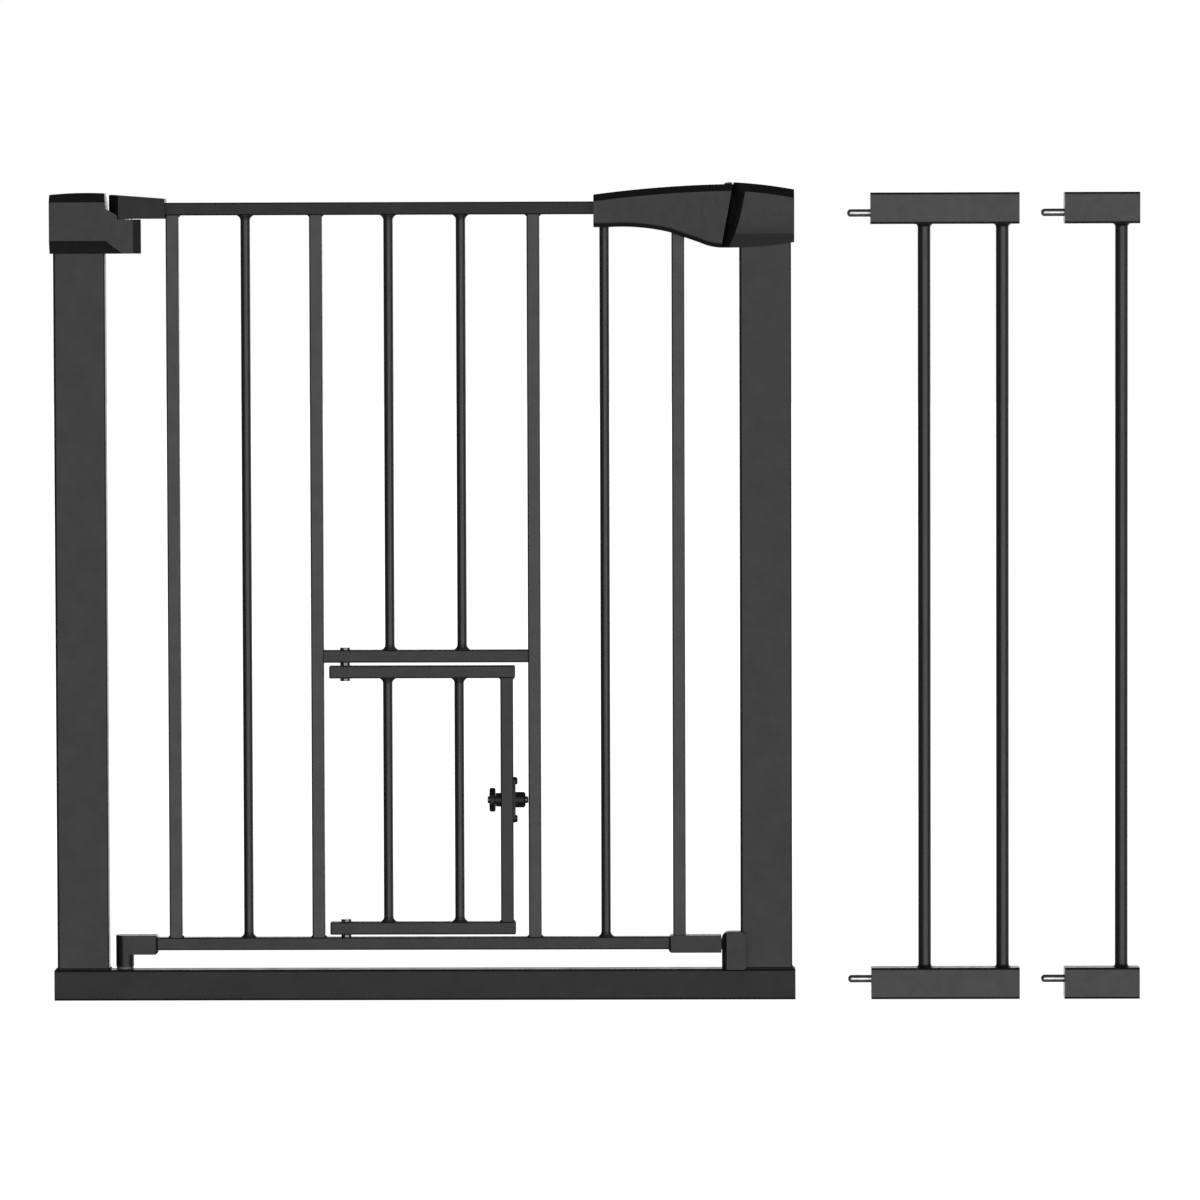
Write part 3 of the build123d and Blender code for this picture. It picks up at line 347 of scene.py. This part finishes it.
def run_mesh(name, half_x, half_y, size):
    """A weld run round the foot of a square tube, in its own XY plane."""
    shape = bmesh.new()
    rings = []
    for index, (spot, outward) in enumerate(rectangle_path(half_x, half_y, RUN_CORNER)):
        bulge = size * (1 + RUN_RIPPLE * math.sin(index * RUN_RIPPLE_STEP))
        ring = []
        for out, up in RUN_PROFILE:
            place = spot + outward * out * bulge
            ring.append(shape.verts.new((place.x, place.y, up * bulge)))
        rings.append(ring)
    for index, ring in enumerate(rings):
        after = rings[(index + 1) % len(rings)]
        for point in range(len(RUN_PROFILE)):
            following = (point + 1) % len(RUN_PROFILE)
            shape.faces.new((ring[point], after[point], after[following], ring[following]))
    bmesh.ops.recalc_face_normals(shape, faces=shape.faces)
    return close_mesh(name, shape)


def add_piece(name, mesh, body, slot, place, turn):
    """Puts a mesh on a body, in the finish of one of the record's slots."""
    piece = bpy.data.objects.new(name, mesh)
    bpy.context.collection.objects.link(piece)
    piece.rotation_euler = turn
    piece.location = place
    mesh.materials.append(FINISHES[slot])
    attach(piece, body)


def middle_and_half(node):
    """The middle of a node's box, and half its size."""
    low, high = (Vector(corner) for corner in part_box(node))
    return (low + high) / 2, (high - low) / 2


def weld_bar(bar, body):
    """Flared welds at both ends of a round bar."""
    middle, half = middle_and_half(bar)
    for end, z in (("low", middle.z - half.z), ("high", middle.z + half.z)):
        name = f"{bar}_weld_{end}"
        mesh = bead_mesh(name, BEAD_ALONG, BEAD_ACROSS, half.x + BEAD_SKIN, BEAD_HEIGHT)
        add_piece(name, mesh, body, "powder_coat", (middle.x, middle.y, z), TURNS[end])


def weld_foot(tube, body, inset_y, size, ends=("low", "high")):
    """Weld runs where an upright tube meets the rails. They stay inside the rails' depth."""
    middle, half = middle_and_half(tube)
    levels = {"low": middle.z - half.z, "high": middle.z + half.z}
    for end in ends:
        name = f"{tube}_weld_{end}"
        mesh = run_mesh(name, half.x, half.y - inset_y, size)
        add_piece(name, mesh, body, "powder_coat", (middle.x, middle.y, levels[end]), TURNS[end])


def add_collars(panel, bar):
    """Moulded collars where an extension's bar enters its blocks."""
    middle, half = middle_and_half(bar)
    flare = half.x + COLLAR_FLARE
    seat_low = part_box(f"{panel}_bottom_block")[1][2]
    seat_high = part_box(f"{panel}_top_block")[0][2]
    for end, z in (("low", seat_low), ("high", seat_high)):
        name = f"{bar}_collar_{end}"
        mesh = bead_mesh(name, flare, flare, half.x + COLLAR_SKIN, COLLAR_HEIGHT)
        place = (middle.x, middle.y, z)
        add_piece(name, mesh, f"{panel}_extension", "housing_plastic", place, TURNS[end])


def add_welds():
    for side in ("left", "right"):
        weld_bar(f"door_long_bar_{side}", "door")
        weld_bar(f"door_upper_bar_{side}", "door")
        weld_bar(f"pet_bar_{side}", "pet_door")
        weld_foot(f"frame_{side}_post", "frame", 0.0, POST_RUN, ends=("low",))
        weld_foot(f"door_inner_stile_{side}", "door", RUN_INSET, STILE_RUN)
    weld_foot("door_left_stile", "door", RUN_INSET, STILE_RUN)
    weld_foot("pet_right_stile", "pet_door", RUN_INSET, LEAF_RUN)
    add_collars("wide", "wide_bar_1")
    add_collars("narrow", "narrow_bar_1")
    add_collars("wide", "wide_bar_2")


# ---------------------------------------------------------------- studio

CAMERA_PLACE = (0.2414, -6.5, 0.6834)
CAMERA_LENS = 207.6
CAMERA_SENSOR = 36.0
CAMERA_REACH = 50
CAMERA_PITCH = -0.0472
CAMERA_YAW = 0.0116
CAMERA_ROLL = -0.0031

OVERHEAD_PLACE = (0.2, -0.6, 4.0)
OVERHEAD_TARGET = (0.2, 0, 0)
OVERHEAD_SIZE = 5.0
OVERHEAD_POWER = 110

FLOOR_SIZE = 60
FLOOR_LEVEL = -0.0005
FLOOR_WHITE = 1.2
FLOOR_GLOW = 0.8
FLOOR_FADE = (0.9, 1.8)

# The bright band's middle, and how far it stays full and then fades, as parts of a unit direction.
BAND_HEIGHT = (0.0, 0.10, 0.62)
BAND_WIDTH = (0.22, 0.38, 0.80)
BAND_LIGHT = 1.5
ROOM_LIGHT = 0.04


def add_camera():
    data = bpy.data.cameras.new("camera")
    camera = bpy.data.objects.new("camera", data)
    bpy.context.collection.objects.link(camera)
    data.sensor_width = CAMERA_SENSOR
    data.lens = CAMERA_LENS
    data.clip_end = CAMERA_REACH
    camera.matrix_world = (
        Matrix.Translation(CAMERA_PLACE)
        @ Matrix.Rotation(CAMERA_YAW, 4, "Z")
        @ Matrix.Rotation(math.radians(90) + CAMERA_PITCH, 4, "X")
        @ Matrix.Rotation(CAMERA_ROLL, 4, "Z")
    )
    bpy.context.scene.camera = camera


def add_overhead():
    """A wide soft light from above. The gate doesn't mirror it."""
    data = bpy.data.lights.new("overhead", "AREA")
    data.energy = OVERHEAD_POWER
    data.size = OVERHEAD_SIZE
    light = bpy.data.objects.new("overhead", data)
    bpy.context.collection.objects.link(light)
    light.location = OVERHEAD_PLACE
    aim = Vector(OVERHEAD_TARGET) - Vector(OVERHEAD_PLACE)
    light.rotation_euler = aim.to_track_quat("-Z", "Y").to_euler()
    light.visible_glossy = False


def blend(tree, fac, first, second):
    """A shader that turns from the first to the second as the factor rises."""
    mix = tree.nodes.new("ShaderNodeMixShader")
    tree.links.new(fac, mix.inputs["Fac"])
    tree.links.new(first, mix.inputs[1])
    tree.links.new(second, mix.inputs[2])
    return mix.outputs["Shader"]


def add_floor():
    """A pale floor. Mirror rays pass it, so that the gate reflects the studio alone."""
    bpy.ops.mesh.primitive_plane_add(size=FLOOR_SIZE, location=(0, 0, FLOOR_LEVEL))
    floor = bpy.context.object
    floor.name = "floor"
    material, tree, shader = new_material("floor_white", (0.9, 0.9, 0.9), 0.8, specular=0.0)
    tree.links.new(ramp(tree, noise(tree, 3.0), 0.90, 0.93), shader.inputs["Base Color"])
    # Away from the gate the floor turns into the white of the backdrop.
    coords = tree.nodes.new("ShaderNodeTexCoord")
    length = tree.nodes.new("ShaderNodeVectorMath")
    length.operation = "LENGTH"
    tree.links.new(coords.outputs["Object"], length.inputs[0])
    fade = tree.nodes.new("ShaderNodeMapRange")
    fade.inputs["From Min"].default_value = FLOOR_FADE[0]
    fade.inputs["From Max"].default_value = FLOOR_FADE[1]
    fade.inputs["To Min"].default_value = FLOOR_GLOW
    tree.links.new(length.outputs["Value"], fade.inputs["Value"])
    white = tree.nodes.new("ShaderNodeEmission")
    white.inputs["Strength"].default_value = FLOOR_WHITE
    sweep = blend(tree, fade.outputs["Result"], shader.outputs["BSDF"], white.outputs["Emission"])
    path = tree.nodes.new("ShaderNodeLightPath")
    clear = tree.nodes.new("ShaderNodeBsdfTransparent")
    surface = blend(tree, path.outputs["Is Glossy Ray"], sweep, clear.outputs["BSDF"])
    tree.links.new(surface, tree.nodes["Material Output"].inputs["Surface"])
    floor.data.materials.append(material)


def calculate(tree, operation, *values):
    """A maths node, fed with outputs or with plain numbers."""
    node = tree.nodes.new("ShaderNodeMath")
    node.operation = operation
    for socket, value in zip(node.inputs, values):
        if isinstance(value, float):
            socket.default_value = value
        else:
            tree.links.new(value, socket)
    return node.outputs["Value"]


def falloff(tree, value, middle, inner, outer):
    """One within the inner distance of the middle value, and none past the outer distance."""
    shifted = calculate(tree, "SUBTRACT", value, middle)
    node = tree.nodes.new("ShaderNodeMapRange")
    node.interpolation_type = "SMOOTHSTEP"
    node.inputs["From Min"].default_value = inner
    node.inputs["From Max"].default_value = outer
    node.inputs["To Min"].default_value = 1.0
    node.inputs["To Max"].default_value = 0.0
    tree.links.new(calculate(tree, "ABSOLUTE", shifted), node.inputs["Value"])
    return node.outputs["Result"]


def add_world():
    """White to the eye. In reflections: a bright band in front and behind, dark above and beside."""
    world = bpy.data.worlds.new("studio")
    world.use_nodes = True
    tree = world.node_tree
    background = tree.nodes["Background"]
    coords = tree.nodes.new("ShaderNodeTexCoord")
    split = tree.nodes.new("ShaderNodeSeparateXYZ")
    tree.links.new(coords.outputs["Generated"], split.inputs["Vector"])
    upright = falloff(tree, split.outputs["Z"], *BAND_HEIGHT)
    sideways = falloff(tree, split.outputs["X"], *BAND_WIDTH)
    band = calculate(tree, "MULTIPLY", upright, sideways)
    light = calculate(tree, "MULTIPLY_ADD", band, BAND_LIGHT, ROOM_LIGHT)
    path = tree.nodes.new("ShaderNodeLightPath")
    seen = tree.nodes.new("ShaderNodeMix")
    seen.data_type = "FLOAT"
    tree.links.new(path.outputs["Is Camera Ray"], seen.inputs["Factor"])
    tree.links.new(light, seen.inputs["A"])
    seen.inputs["B"].default_value = 1.0
    tree.links.new(seen.outputs["Result"], background.inputs["Strength"])
    background.inputs["Color"].default_value = (1, 1, 1, 1)
    bpy.context.scene.world = world


finish_nodes()
soften_edges()
add_welds()
add_camera()
add_floor()
add_world()
add_overhead()
bpy.context.scene.view_settings.view_transform = "Standard"
